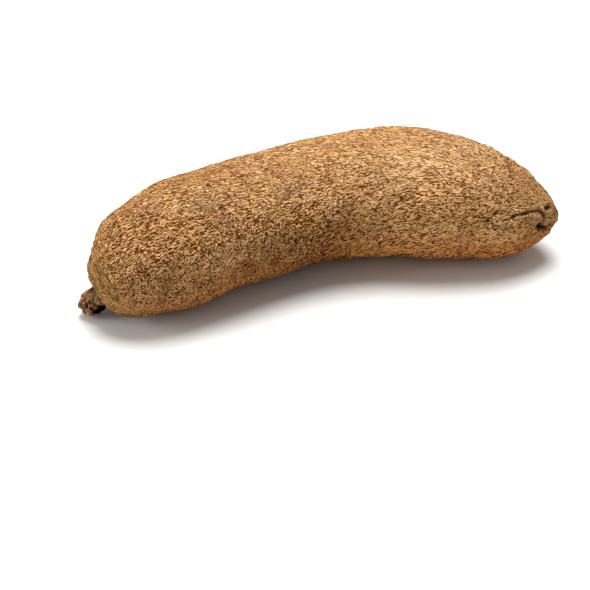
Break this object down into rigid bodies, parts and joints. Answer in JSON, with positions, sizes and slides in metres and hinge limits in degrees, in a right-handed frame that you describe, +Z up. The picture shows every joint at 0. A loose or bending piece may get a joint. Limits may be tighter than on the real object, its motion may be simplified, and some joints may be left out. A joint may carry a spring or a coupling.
{
  "type": "yam",
  "caption": "Whole yam tuber lying on its side: a thick, gently bent root with corky skin, a woody crown knob and a blunt pinched root tip.",
  "frame": {"origin": "middle of the bounding box, on the surface that the tuber lies on", "axes": "+Z up, +X along the tuber from its crown knob towards its root tip, +Y towards the outside of its bend"},
  "size_m": [0.3354, 0.1186, 0.087],
  "materials": {
    "corky_skin": null
  },
  "bodies": {
    "root": {"yam": "corky_skin"}
  },
  "joints": []
}
